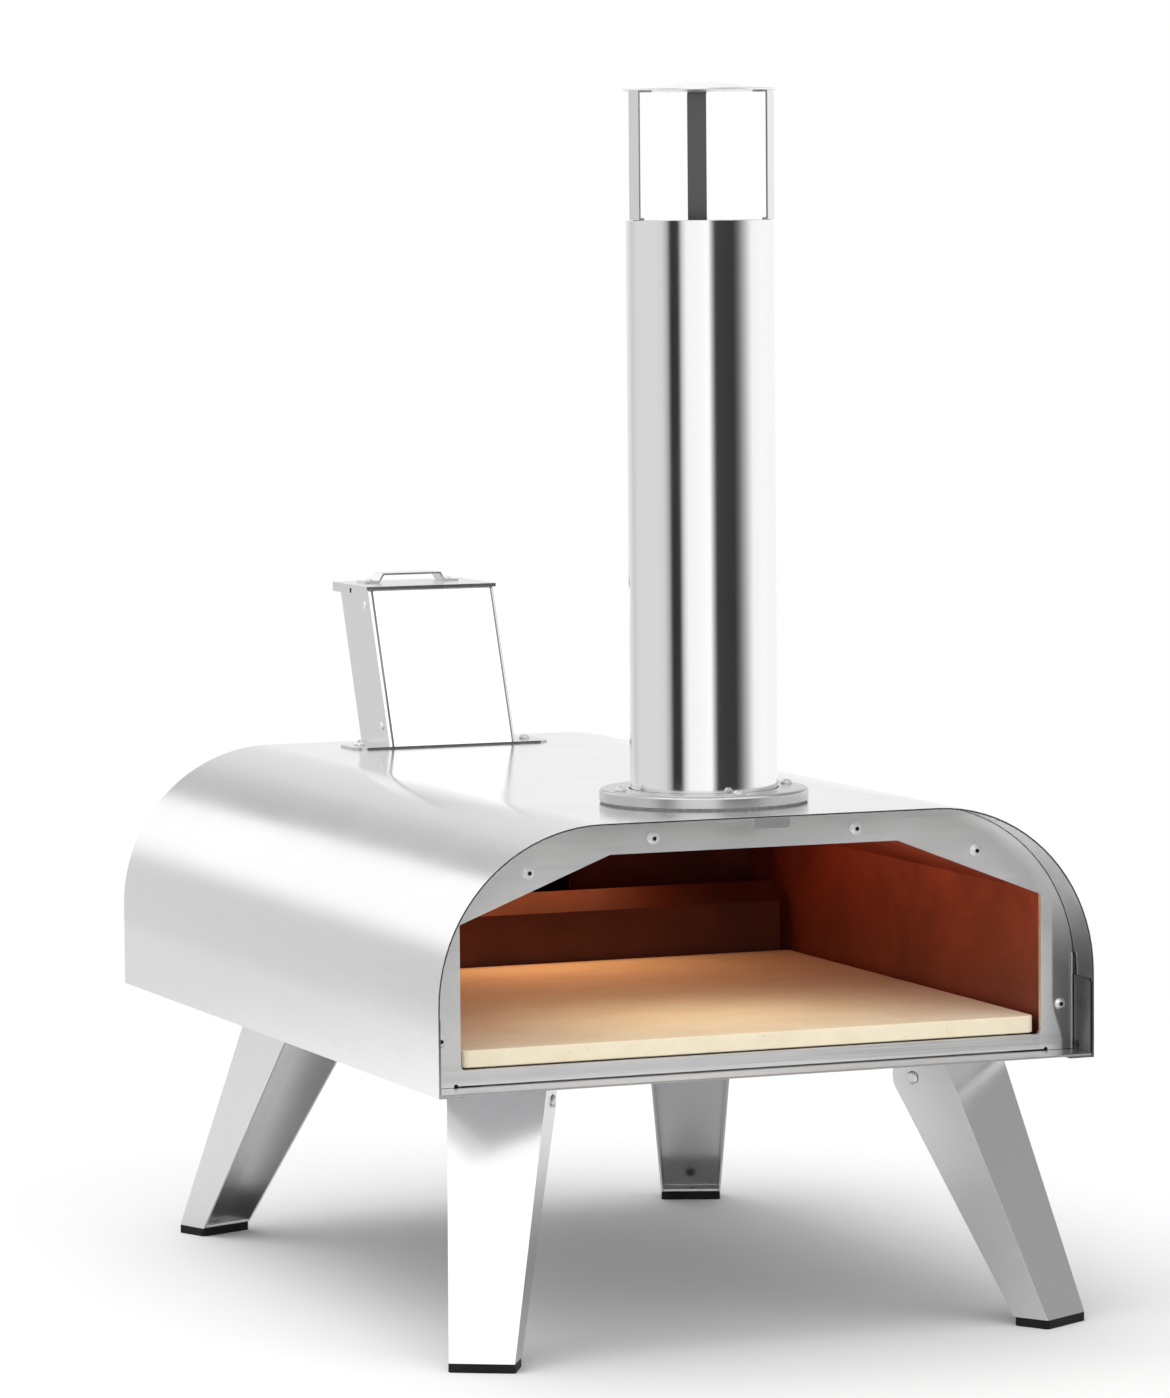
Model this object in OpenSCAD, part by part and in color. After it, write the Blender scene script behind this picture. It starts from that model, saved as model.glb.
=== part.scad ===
// Table-top pellet and wood fired pizza oven: arched double-skin body on four folding legs,
// with a lift-off chimney, a fuel hopper at the back and a drawer-like fuel tray.
// X is to the right of a person facing the mouth, Y runs to the back, Z is up.
// The origin is on the ground under the middle of the oven. Millimetres.

/* [Body] */
// Width across the outer shell
body_w = 400; // [380:1:420]
// Length of the outer shell from front edge to back edge
body_len = 570; // [560:1:590]
// Height of the outer shell from its bottom edge to its top
body_h = 147.6; // [144:0.1:152]
// Height of the shell's bottom edge above the ground
base_z = 152.4; // [145:0.1:165]
// Radius of the shell's two top corners
corner_r = 98; // [92:1:102]
// Thickness of the body's sheet steel
sheet = 1; // [0.8:0.1:1.2]
// How far the front panel stands back from the shell's front edge
front_recess = 24; // [20:1:28]
// Place of the shell's front edge along Y
front_y = -295; // [-297:1:-293]

/* [Mouth] */
// Half the width of the mouth
mouth_half_w = 178; // [174:1:180]
// Height of the mouth's bottom edge above the ground
mouth_bottom_z = 164; // [163.5:0.1:164.2]
// Height where the mouth's upright sides end
mouth_side_z = 245; // [238:1:250]
// Height of the mouth's flat top
mouth_top_z = 280; // [276:1:281]
// Half the length of the mouth's flat top
mouth_top_half_w = 88; // [80:1:95]

/* [Stone] */
// Side of the square pizza stone
stone_side = 352; // [340:1:353]
// Thickness of the pizza stone
stone_t = 10; // [8:0.5:12]

/* [Chimney] */
// Outer radius of the chimney tube
tube_r = 42.3; // [41:0.1:43]
// Height of the tube's top edge above the ground
tube_top_z = 632; // [600:1:650]
// Distance of the chimney's axis behind the shell's front edge
chimney_back = 98; // [94:1:110]
// Outer radius of the chimney flange
flange_r = 60; // [58:0.5:62]
// Height of the rain cap's disc above the tube's top edge
cap_rise = 74.5; // [60:0.5:85]

/* [Hopper] */
// Width of the fuel hopper
hopper_w = 85; // [80:1:88]
// Depth of the fuel hopper, front to back
hopper_d = 54; // [48:1:54]
// Height of the fuel hopper's sheet metal walls
hopper_h = 98; // [80:1:110]
// How far the hopper's top lies behind its bottom
hopper_lean = 38; // [20:1:38]

/* [Legs] */
// Angle of a front leg from the vertical
front_lean = 24; // [20:1:27]
// Angle of a rear leg from the vertical
rear_lean = 28.5; // [24:0.5:30]
// Direction of a front leg, turned outwards from straight ahead
front_splay = 29.5; // [25:0.5:32]
// Direction of a rear leg, turned outwards from straight back
rear_splay = 22.5; // [18:0.5:26]
// Distance of a front leg's top from the oven's middle plane
front_leg_x = 146.5; // [140:0.5:150]
// Distance of a front leg's top behind the shell's front edge
front_leg_back = 51; // [45:1:60]
// Distance of a rear leg's top from the oven's middle plane
rear_leg_x = 136; // [130:1:145]
// Distance of a rear leg's top behind the shell's front edge
rear_leg_back = 447; // [435:1:455]
// Width across a leg's top
leg_top_w = 57; // [56:1:60]
// Width across a leg's foot
leg_foot_w = 37; // [35:1:42]
// Level depth of a leg at its foot
foot_depth = 23; // [21:1:26]
// Radius of the hinge pins
pin_r = 3; // [2.5:0.1:3.2]

/* [Hidden] */
$fn = 96;

rear_y = front_y + body_len;
top_z = base_z + body_h;
half_w = body_w / 2;
// Underside of the base pan, which rests on the shell's two bottom flanges
pan_z = base_z + sheet;
pan_t = 1.2;
shell_flange = 15;
panel_t = 1.2;
panel_gap = 0.3;
panel_lip = 2;
front_panel_y = front_y + front_recess;
rear_panel_y = rear_y - 4.2;
frame_w = 17;
frame_t = 1.5;
frame_skirt = 12;
frame_lift = 12;
sill_half_w = 181;
sill_gap = 0.8;
sill_end_r = 1.2;
vent_r = 4;
vent_pitch = 15;
vent_z = 222;
hook_half_w = 11;
hook_drop = 6;
hook_reach = 12;
pan_side_gap = 0.2;
pan_front_gap = 0.6;
pan_lip_h = 10;
// How far the pan's upturned side lips stop short of the front panel and of the rear panel
pan_lip_front = 30;
pan_lip_rear = 20;
wool_half_w = 162;
wool_t = 7;
wool_lift = 1.2;

// Panel screws: distance from the middle, height
PANEL_SCREWS = [[62, 288], [137, 272], [190, 181]];
screw_r = 2;
head_r = 3.4;
head_h = 2.2;
head_land = 0.9;
head_top_share = 0.62;
socket_r = 1.3;
socket_depth = 1.4;
through = 1;
rivet_r = 1.6;
rivet_head_r = 2.6;
rivet_head_h = 1.2;

liner_gap = 2;
liner_t = 1;
liner_front_y = front_panel_y + panel_t + 6.5;
back_wall_y = front_y + 449;
stone_gap = 0.5;
stone_front_y = front_y + 28;
stone_z = mouth_bottom_z + stone_gap;
stone_r = 5;
rail_top_gap = 0.1;
rail_t = 1.2;
rail_x = 165;
rail_top_w = 14;
rail_foot_w = 10;
deflector_half_w = 172;
deflector_gap = 5;
deflector_foot = 22;
deflector_top_z = 205;
deflector_hood = 12;

chimney_y = front_y + chimney_back;
gasket_t = 1.2;
flange_h = 6.8;
flange_t = 1.2;
collar_r = 43;
collar_t = 1.2;
collar_bottom_z = top_z - 16;
ledge_r = 40;
tube_t = 1;
tube_bottom_z = collar_bottom_z + collar_t + 0.2;
flange_screw_r = 51.5;
cap_z = tube_top_z + cap_rise;
cap_r = 43.6;
cap_t = 1.2;
// The cap's middle is pressed up into a low dome inside its flat rim
cap_dome_r = 33;
cap_dome_h = 3.5;
cap_dome_steps = 8;
// Directions of the rain cap's three straps
STRAP_ANGLES = [69, 188, -43];
strap_w = 11;
strap_t = 1.2;
strap_gap = 0.4;
strap_low_r = tube_r - tube_t - strap_gap;
strap_high_r = tube_r + 0.9;
strap_reach = 30;
strap_tab = 9;
rim_gap = 0.2;

hopper_z = top_z + 1.2;
hopper_front_y = front_y + 508;
hopper_t = 1;
hopper_top_z = hopper_z + hopper_h;
hopper_rivet_low = 12;
hopper_rivet_high = 11;
hopper_rivet_in = 9;
chute_half_w = hopper_w / 2 - 1.5;
chute_front_y = hopper_front_y + 1.5;
chute_rear_y = hopper_front_y + hopper_d - 1.5;
chute_bottom_z = 206;
plate_half_w = 66;
plate_front_y = hopper_front_y - 3.5;
plate_screw_x = 56;
plate_screw_y = hopper_front_y + 19;
plate_ear_len = 38;
plate_ear_r = 10;
plate_len = 60;
plate_rim = 2;
lid_gap = 0.5;
lid_t = 1;
lid_skirt = 5;
lid_rear_over = 7;
lid_front_over = 0.6;
lid_handle_back = 15;
lid_top_z = hopper_top_z + 0.1 + lid_t;
lid_handle_y = hopper_front_y + hopper_lean + hopper_d / 2 + lid_handle_back;
lid_handle_rivet_x = 27;
lid_handle_t = 1.2;
lid_handle_rise = 6;
lid_handle_len = 64;
lid_handle_span = 38;
lid_handle_w = 16;
lid_front_skirt = 1.4;
lid_side_len = 30;

burner_t = 1.2;
burner_half_w = 66;
burner_front_y = front_y + 451;
burner_bottom_z = 163;
burner_top_z = 256;
// Window in the burner box's front wall, and the larger one in the inner back wall
flame_half_w = 56;
flame_low_z = 202;
flame_high_z = 248;
wall_hole_half_w = 58;
wall_hole_low_z = 200;
wall_hole_high_z = 250;
tray_half_w = 58;
tray_z = 164.6;
tray_h = 24;
tray_front_y = front_y + 458;
tray_door_y = rear_panel_y + panel_t + 0.3;
tray_t = 1.2;
tray_hole_r = 3;
tray_hole_pitch = 13;
tray_hole_start = 22;
tray_door_half_w = 70;
tray_door_low_z = 158;
tray_door_high_z = 207;
tray_door_r = 6;
tray_door_t = 1.5;
tray_handle_z = 183;
tray_handle_len = 100;
tray_handle_span = 52;
tray_handle_rise = 24;
tray_handle_w = 16;
tray_handle_t = 1.5;
tray_screw_x = 44;
rear_hole_half_w = 60;
rear_hole_top_z = 191;

pad_h = 5;
pad_r = 2;
pad_rim = 0.4;
spigot_r = 3;
spigot_gap = 0.05;
spigot_h = 1.2;
bracket_rivet_y = 14;
bracket_rivet_head_r = 3.6;
pin_drop = 14.5;
pin_z = pan_z - pin_drop;
leg_t = 1.5;
leg_top_gap = 0.5;
// Depth and half the width of the blank a leg is cut from, both well clear of the leg
leg_reach = 90;
leg_span = 50;
leg_round_r = pin_drop - leg_top_gap;
// Level distance from the pin to the outside of the leg's broad face
pin_to_face = 27.5;
ear_half_w = 25.5;
ear_t = 1.5;
ear_r = 11;
ear_side = 13;
pin_head_r = 3.9;
pin_head_h = 1.4;
pin_slack = 0.05;
pin_half_len = 28.6;

// ---- Helpers ----

// Extrudes an outline drawn in X and Z along Y, from y0 to y1
module along_y(y0, y1) {
  translate([0, y1, 0]) rotate([90, 0, 0]) linear_extrude(y1 - y0) children();
}

// Extrudes an outline drawn in Y and Z along X, from x0 to x1
module along_x(x0, x1) {
  translate([x0, 0, 0]) rotate([90, 0, 90]) linear_extrude(x1 - x0) children();
}

module mirrored_x() {
  children();
  mirror([1, 0, 0]) children();
}

// Rectangle from two corners
module rect(x0, y0, x1, y1) {
  translate([x0, y0]) square([x1 - x0, y1 - y0]);
}

module rounded_rect(x0, y0, x1, y1, r) {
  rect(x0 + r, y0, x1 - r, y1);
  rect(x0, y0 + r, x1, y1 - r);
  for (x = [x0 + r, x1 - r]) for (y = [y0 + r, y1 - r]) translate([x, y]) circle(r);
}

// The body's arch, drawn in X and Z, shrunk by inset and cut off level at bottom
module arch(inset, bottom) {
  w = half_w - inset;
  r = corner_r - inset;
  shoulder = top_z - inset - r;
  intersection() {
    union() {
      rect(-w, bottom - r, w, shoulder);
      rect(-(w - r), bottom - r, w - r, shoulder + r);
      for (s = [-1, 1]) translate([s * (w - r), shoulder]) circle(r);
    }
    rect(-half_w, bottom, half_w, top_z);
  }
}

// The mouth's outline, grown by g, with rounded bottom corners
module mouth(g) {
  w = mouth_half_w + g;
  bottom = mouth_bottom_z - g;
  r = 3;
  polygon([
    [-w, bottom + r], [-w, mouth_side_z + g * 0.6], [-mouth_top_half_w - g * 0.2, mouth_top_z + g],
    [mouth_top_half_w + g * 0.2, mouth_top_z + g], [w, mouth_side_z + g * 0.6], [w, bottom + r]
  ]);
  rounded_rect(-w, bottom, w, bottom + 4 * r, r);
}

// The cooking space's roof and walls, open below, grown by g from the mouth
module tunnel(g, bottom) {
  w = mouth_half_w + g;
  polygon([
    [-w, bottom], [-w, mouth_side_z + g * 0.6], [-mouth_top_half_w - g * 0.2, mouth_top_z + g],
    [mouth_top_half_w + g * 0.2, mouth_top_z + g], [w, mouth_side_z + g * 0.6], [w, bottom]
  ]);
}

// Button-head socket screw: shank down from the origin, head up
module screw(len) {
  translate([0, 0, -len]) cylinder(r = screw_r, h = len);
  difference() {
    union() {
      cylinder(r = head_r, h = head_land);
      translate([0, 0, head_land])
        cylinder(r1 = head_r, r2 = head_r * head_top_share, h = head_h - head_land);
    }
    translate([0, 0, head_h - socket_depth]) cylinder(r = socket_r, h = socket_depth + 1, $fn = 6);
  }
}

// Low-headed rivet: shank down from the origin, head up
module rivet(len, r = rivet_r, head = rivet_head_r) {
  land = 0.4 * rivet_head_h;
  translate([0, 0, -len]) cylinder(r = r, h = len);
  cylinder(r = head, h = land);
  translate([0, 0, land]) cylinder(r1 = head, r2 = head * 0.6, h = rivet_head_h - land);
}

// Repeats a child at the six panel screw places
module at_panel_screws() {
  for (p = PANEL_SCREWS) for (s = [-1, 1]) translate([s * p[0], 0, p[1]]) children();
}

// Bent strip handle: feet on z = 0, middle raised by rise, along X
module strip_handle(len, span, rise, width, t) {
  half = len / 2;
  top = span / 2;
  slope = rise * 0.5;
  rotate([90, 0, 0]) linear_extrude(width, center = true) polygon([
    [-half, 0], [-top - slope, 0], [-top, rise - t], [top, rise - t], [top + slope, 0], [half, 0],
    [half, t], [top + slope + t * 0.6, t], [top + t * 0.6, rise], [-top - t * 0.6, rise],
    [-top - slope - t * 0.6, t], [-half, t]
  ]);
}

// ---- Body ----

module outer_shell() {
  color("gainsboro") difference() {
    union() {
      along_y(front_y, rear_y) difference() {
        arch(0, base_z);
        arch(sheet, base_z - 1);
      }
      mirrored_x() translate([half_w - shell_flange, front_y, base_z])
        cube([shell_flange - sheet / 2, body_len, sheet]);
    }
    translate([0, chimney_y, top_z - 5]) cylinder(r = collar_r + collar_t + 0.3, h = 10);
    translate([-chute_half_w - 0.2, chute_front_y - 0.2, top_z - 5])
      cube([2 * chute_half_w + 0.4, chute_rear_y - chute_front_y + 0.4, 10]);
    at_flange_screws() translate([0, 0, -10]) cylinder(r = screw_r, h = 20);
    at_plate_screws() translate([0, 0, -10]) cylinder(r = screw_r, h = 20);
  }
}

// One plate of the body's end, without its opening
module end_plate(y0) {
  difference() {
    along_y(y0, y0 + panel_t) arch(sheet + panel_gap, pan_z + pan_t + 0.2);
    at_panel_screws() translate([0, y0 - 1, 0]) rotate([-90, 0, 0]) cylinder(r = screw_r, h = 4);
  }
}

module front_panel() {
  lip_y = front_panel_y + panel_t;
  color("silver") {
    difference() {
      end_plate(front_panel_y);
      along_y(front_panel_y - 1, front_panel_y + panel_t + 1) mouth(0);
      along_y(front_panel_y - 1, front_panel_y + panel_t + 1) {
        rect(-sill_half_w, pan_z + pan_t - through, sill_half_w, pan_z + pan_t + sill_gap);
        for (s = [-1, 1]) translate([s * sill_half_w, pan_z + pan_t + sill_gap]) circle(sill_end_r);
      }
    }
    along_y(lip_y - 0.2, lip_y + panel_lip) difference() {
      mouth(1);
      mouth(0);
    }
  }
}

module front_panel_screws() {
  color("lightgray") at_panel_screws()
    translate([0, front_panel_y, 0]) rotate([90, 0, 0]) screw(4);
}

// Flanged arch inside the shell that an end panel is screwed to
module end_frame(y0, skirt_y0) {
  difference() {
    union() {
      along_y(y0, y0 + frame_t) difference() {
        arch(sheet + 0.05, pan_z + pan_t + frame_lift);
        arch(frame_w, pan_z);
      }
      along_y(skirt_y0, skirt_y0 + frame_skirt) difference() {
        arch(sheet + 0.05, pan_z + pan_t + frame_lift);
        arch(sheet + 0.05 + frame_t, pan_z);
      }
    }
    at_panel_screws() translate([0, y0 - 1, 0]) rotate([-90, 0, 0]) cylinder(r = screw_r, h = 5);
  }
}

module front_frame() {
  frame_y = front_panel_y + panel_t;
  color("darkgray") difference() {
    end_frame(frame_y, frame_y);
    along_y(frame_y - 1, frame_y + 20) tunnel(1.3, pan_z);
  }
}

module door_hook() {
  color("silver") {
    along_y(front_y, front_y + sheet)
      rounded_rect(-hook_half_w, top_z - sheet - hook_drop, hook_half_w, top_z - sheet, 2);
    translate([-hook_half_w, front_y, top_z - 2 * sheet]) cube([2 * hook_half_w, hook_reach, sheet]);
  }
}

module rear_panel() {
  color("silver") difference() {
    end_plate(rear_panel_y);
    along_y(rear_panel_y - 1, rear_panel_y + panel_t + 1) {
      rounded_rect(-rear_hole_half_w, tray_z - 0.8, rear_hole_half_w, rear_hole_top_z, 2);
      for (i = [-3:3]) translate([i * vent_pitch, vent_z]) circle(vent_r);
    }
  }
}

module rear_panel_screws() {
  color("lightgray") at_panel_screws()
    translate([0, rear_panel_y + panel_t, 0]) rotate([-90, 0, 0]) screw(4);
}

module rear_frame() {
  frame_y = rear_panel_y - frame_t;
  color("darkgray") difference() {
    end_frame(frame_y, frame_y - frame_skirt + frame_t);
    along_y(frame_y - 20, frame_y + 20) tunnel(1.3, pan_z);
    along_y(frame_y - 20, frame_y + 20)
      rect(-chute_half_w - 3, top_z - 40, chute_half_w + 3, top_z - sheet);
  }
}

module base_pan() {
  side = half_w - sheet - pan_side_gap;
  lip_y = front_panel_y + pan_lip_front;
  color("darkgray") difference() {
    union() {
      translate([-side, front_y + pan_front_gap, pan_z]) cube([2 * side, rear_panel_y - front_y, pan_t]);
      mirrored_x() translate([side - pan_t, lip_y, pan_z + pan_t - 0.1])
        cube([pan_t, rear_panel_y - pan_lip_rear - lip_y, pan_lip_h]);
    }
    at_each_leg() at_bracket_rivets() cylinder(r = screw_r, h = 30);
  }
}

module base_insulation() {
  color("wheat") translate([-wool_half_w, stone_front_y + 6, pan_z + pan_t + wool_lift])
    cube([2 * wool_half_w, back_wall_y - stone_front_y - 8, wool_t]);
}

// ---- Cooking space ----

module inner_liner() {
  color("dimgray") difference() {
    along_y(liner_front_y, rear_panel_y - 2.5) difference() {
      tunnel(liner_gap + liner_t, pan_z + pan_t);
      tunnel(liner_gap, pan_z + pan_t - 1);
    }
    translate([0, chimney_y, mouth_top_z - 5]) cylinder(r = ledge_r, h = 20);
    translate([-chute_half_w - 0.4, chute_front_y - 0.4, mouth_top_z - 5])
      cube([2 * chute_half_w + 0.8, chute_rear_y - chute_front_y + 0.8, 20]);
  }
}

module roof_insulation() {
  color("ivory") difference() {
    along_y(liner_front_y + 6, rear_panel_y - 14) difference() {
      arch(sheet + frame_t + 0.6, pan_z + pan_t + 13);
      tunnel(liner_gap + liner_t + 0.3, pan_z);
    }
    translate([0, chimney_y, mouth_top_z - 5]) cylinder(r = collar_r + collar_t + 0.3, h = 30);
    translate([-chute_half_w - 0.4, chute_front_y - 0.4, mouth_top_z - 5])
      cube([2 * chute_half_w + 0.8, chute_rear_y - chute_front_y + 0.8, 30]);
  }
}

module inner_back_wall() {
  color("dimgray") along_y(back_wall_y, back_wall_y + 1.2) difference() {
    tunnel(liner_gap - 0.2, pan_z + pan_t);
    rect(-wall_hole_half_w, wall_hole_low_z, wall_hole_half_w, wall_hole_high_z);
  }
}

module stone_rail() {
  top = stone_z - rail_top_gap;
  color("darkgray") along_y(stone_front_y + 8, back_wall_y - 4) {
    rect(rail_x, top - rail_t, rail_x + rail_top_w, top);
    rect(rail_x, pan_z + pan_t, rail_x + rail_t, top);
    rect(rail_x, pan_z + pan_t, rail_x + rail_foot_w, pan_z + pan_t + rail_t);
  }
}

module stone_rail_left() { mirror([1, 0, 0]) stone_rail(); }

module stone_rail_right() { stone_rail(); }

module pizza_stone() {
  half = stone_side / 2;
  color("cornsilk") translate([0, 0, stone_z]) linear_extrude(stone_t)
    rounded_rect(-half, stone_front_y, half, stone_front_y + stone_side, stone_r);
}

module flame_deflector() {
  y0 = stone_front_y + stone_side + deflector_gap;
  y1 = y0 + rail_t;
  z0 = stone_z - rail_top_gap;
  z1 = deflector_top_z;
  hood = deflector_hood;
  color("dimgray") along_x(-deflector_half_w, deflector_half_w) {
    rect(y0, z0, y1, z1);
    rect(y0, z0, y0 + deflector_foot, z0 + rail_t);
    polygon([[y0, z1], [y1, z1], [y1 + hood, z1 + hood], [y0 + hood, z1 + hood]]);
  }
}

module burner_box() {
  t = burner_t;
  length = rear_panel_y - 0.3 - burner_front_y;
  color("dimgray") difference() {
    translate([-burner_half_w, burner_front_y, burner_bottom_z])
      cube([2 * burner_half_w, length, burner_top_z - burner_bottom_z]);
    translate([-burner_half_w + t, burner_front_y + t, burner_bottom_z + t])
      cube([2 * (burner_half_w - t), length - 2 * t, burner_top_z - burner_bottom_z - 2 * t]);
    along_y(burner_front_y - through, burner_front_y + t + through)
      rect(-flame_half_w, flame_low_z, flame_half_w, flame_high_z);
    along_y(rear_panel_y - 5, rear_panel_y + 1)
      rect(-rear_hole_half_w, tray_z - 0.3, rear_hole_half_w, rear_hole_top_z);
    translate([-chute_half_w - 0.2, chute_front_y - 0.2, burner_top_z - 5])
      cube([2 * chute_half_w + 0.4, chute_rear_y - chute_front_y + 0.4, 10]);
  }
}

module hopper_chute() {
  t = hopper_t;
  depth = chute_rear_y - chute_front_y;
  color("darkgray") translate([-chute_half_w, chute_front_y, chute_bottom_z]) difference() {
    cube([2 * chute_half_w, depth, top_z - chute_bottom_z]);
    translate([t, t, -1]) cube([2 * (chute_half_w - t), depth - 2 * t, 200]);
  }
}

// ---- Fuel tray ----

module fuel_tray() {
  t = tray_t;
  depth = tray_door_y - tray_front_y;
  color("dimgray") translate([0, tray_front_y, tray_z]) difference() {
    translate([-tray_half_w, 0, 0]) cube([2 * tray_half_w, depth, tray_h]);
    translate([-tray_half_w + t, t, t]) cube([2 * (tray_half_w - t), depth - 2 * t, tray_h]);
    for (i = [-3.5:3.5]) for (j = [0:5])
      translate([i * tray_hole_pitch, tray_hole_start + j * tray_hole_pitch, -through])
        cylinder(r = tray_hole_r, h = t + 2 * through, $fn = 24);
  }
}

module tray_door() {
  x = tray_door_half_w;
  color("silver") along_y(tray_door_y, tray_door_y + tray_door_t) difference() {
    rounded_rect(-x, tray_door_low_z, x, tray_door_high_z, tray_door_r);
    for (s = [-1, 1]) translate([s * tray_screw_x, tray_handle_z]) circle(screw_r);
  }
}

module tray_handle() {
  color("silver") translate([0, tray_door_y + tray_door_t, tray_handle_z]) rotate([-90, 0, 0]) difference() {
    strip_handle(tray_handle_len, tray_handle_span, tray_handle_rise, tray_handle_w, tray_handle_t);
    for (s = [-1, 1]) translate([s * tray_screw_x, 0, -through])
      cylinder(r = screw_r, h = tray_handle_t + 2 * through);
  }
}

module tray_handle_screws() {
  color("lightgray") for (s = [-1, 1])
    translate([s * tray_screw_x, tray_door_y + tray_door_t + tray_handle_t, tray_handle_z])
      rotate([-90, 0, 0]) screw(2.9);
}

// ---- Hopper ----

module at_plate_screws() {
  for (s = [-1, 1]) translate([s * plate_screw_x, plate_screw_y, top_z]) children();
}

module hopper_plate() {
  x = hopper_w / 2 + plate_rim;
  color("silver") difference() {
    translate([0, 0, top_z]) linear_extrude(hopper_z - top_z) difference() {
      union() {
        rounded_rect(-plate_half_w, plate_front_y, plate_half_w, plate_front_y + plate_ear_len, plate_ear_r);
        rounded_rect(-x, plate_front_y, x, plate_front_y + plate_len, plate_rim);
      }
      rect(-chute_half_w + 1, chute_front_y + 1, chute_half_w - 1, chute_rear_y - 1);
    }
    at_plate_screws() translate([0, 0, -through]) cylinder(r = screw_r, h = 5);
  }
}

module hopper_plate_screws() {
  color("lightgray") at_plate_screws() translate([0, 0, hopper_z - top_z]) screw(4);
}

// Leaning outline of the hopper in Y and Z, shrunk by g and lengthened by e at both ends
module hopper_outline(g, e) {
  shift = hopper_lean * e / hopper_h;
  y0 = hopper_front_y + g;
  y1 = hopper_front_y + hopper_d - g;
  polygon([
    [y0 - shift, hopper_z - e], [y1 - shift, hopper_z - e],
    [y1 + hopper_lean + shift, hopper_top_z + e], [y0 + hopper_lean + shift, hopper_top_z + e]
  ]);
}

module hopper_body() {
  color("gainsboro") difference() {
    along_x(-hopper_w / 2, hopper_w / 2) hopper_outline(0, 0);
    along_x(-hopper_w / 2 + hopper_t, hopper_w / 2 - hopper_t) hopper_outline(hopper_t, 3);
    at_hopper_rivets() translate([0, 0, -3]) cylinder(r = rivet_r, h = 6);
  }
}

// Two rivet places on each side wall, along the front seam
module at_hopper_rivets() {
  for (z = [hopper_rivet_low, hopper_h - hopper_rivet_high]) mirrored_x()
    translate([hopper_w / 2, hopper_front_y + hopper_rivet_in + hopper_lean * z / hopper_h, hopper_z + z])
      rotate([0, 90, 0]) children();
}

module hopper_rivets() {
  color("lightgray") at_hopper_rivets() rivet(hopper_t);
}

module hopper_lid() {
  x1 = hopper_w / 2 + lid_gap + lid_t;
  y0 = hopper_front_y + hopper_lean - lid_gap - lid_t - lid_front_over;
  y1 = hopper_front_y + hopper_lean + hopper_d + lid_gap + lid_t + lid_rear_over;
  z0 = lid_top_z - lid_t;
  color("silver") difference() {
    union() {
      translate([-x1, y0, z0]) cube([2 * x1, y1 - y0, lid_t]);
      translate([-x1, y0, z0 - lid_front_skirt]) cube([2 * x1, lid_t, lid_front_skirt + 0.1]);
      translate([-x1, y1 - lid_t, z0 - lid_skirt]) cube([2 * x1, lid_t, lid_skirt + 0.1]);
      mirrored_x() translate([x1 - lid_t, y1 - lid_side_len, z0 - lid_skirt])
        cube([lid_t, lid_side_len, lid_skirt + 0.1]);
      mirrored_x() translate([x1 - lid_t, y0, z0 - lid_front_skirt])
        cube([lid_t, y1 - y0, lid_front_skirt + 0.1]);
    }
    at_lid_handle_rivets() translate([0, 0, -5]) cylinder(r = rivet_r, h = 10);
  }
}

module at_lid_handle_rivets() {
  for (s = [-1, 1]) translate([s * lid_handle_rivet_x, lid_handle_y, lid_top_z]) children();
}

module lid_handle() {
  color("silver") difference() {
    translate([0, lid_handle_y, lid_top_z])
      strip_handle(lid_handle_len, lid_handle_span, lid_handle_rise, lid_handle_w, lid_handle_t);
    at_lid_handle_rivets() translate([0, 0, -through]) cylinder(r = rivet_r, h = 4);
  }
}

module lid_handle_rivets() {
  color("lightgray") at_lid_handle_rivets() translate([0, 0, lid_handle_t]) rivet(lid_handle_t + lid_t);
}

// ---- Chimney ----

module at_flange_screws() {
  for (a = [0:90:270]) translate([0, chimney_y, top_z]) rotate([0, 0, a])
    translate([flange_screw_r, 0, 0]) children();
}

module chimney_gasket() {
  color("dimgray") difference() {
    translate([0, chimney_y, top_z]) difference() {
      cylinder(r = flange_r - 0.7, h = gasket_t);
      translate([0, 0, -through]) cylinder(r = collar_r + collar_t + 0.3, h = 5);
    }
    at_flange_screws() translate([0, 0, -through]) cylinder(r = screw_r, h = 5);
  }
}

module chimney_flange() {
  low = gasket_t;
  high = gasket_t + flange_h;
  bottom = collar_bottom_z - top_z;
  color("silver") difference() {
    translate([0, chimney_y, top_z]) rotate_extrude() {
      rect(flange_r - flange_t, low, flange_r, high - 2);
      rect(collar_r, high - flange_t, flange_r - 2, high);
      translate([flange_r - 2, high - 2]) intersection() {
        difference() {
          circle(2);
          circle(2 - flange_t);
        }
        square(2);
      }
      rect(collar_r, bottom, collar_r + collar_t, high - 0.1);
      rect(ledge_r, bottom, collar_r + 0.5, bottom + collar_t);
    }
    at_flange_screws() cylinder(r = screw_r, h = 20);
  }
}

module chimney_flange_screws() {
  color("lightgray") at_flange_screws() translate([0, 0, gasket_t + flange_h]) screw(10);
}

module chimney_tube() {
  color("gainsboro") translate([0, chimney_y, tube_bottom_z]) difference() {
    cylinder(r = tube_r, h = tube_top_z - tube_bottom_z);
    translate([0, 0, -through]) cylinder(r = tube_r - tube_t, h = tube_top_z);
  }
}

// Half of the cap's dome as points in radius and height, from the middle out
function dome_curve() = [
  for (i = [0:cap_dome_steps]) [
    cap_dome_r * i / cap_dome_steps,
    cap_dome_h * (1 - pow(i / cap_dome_steps, 2))
  ]
];

module rain_cap() {
  top = dome_curve();
  low = [for (i = [cap_dome_steps:-1:0]) [top[i][0], top[i][1] - cap_t]];
  color("silver") translate([0, chimney_y, cap_z])
    rotate_extrude() polygon(concat(top, [[cap_r, 0], [cap_r, -cap_t]], low));
}

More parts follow.
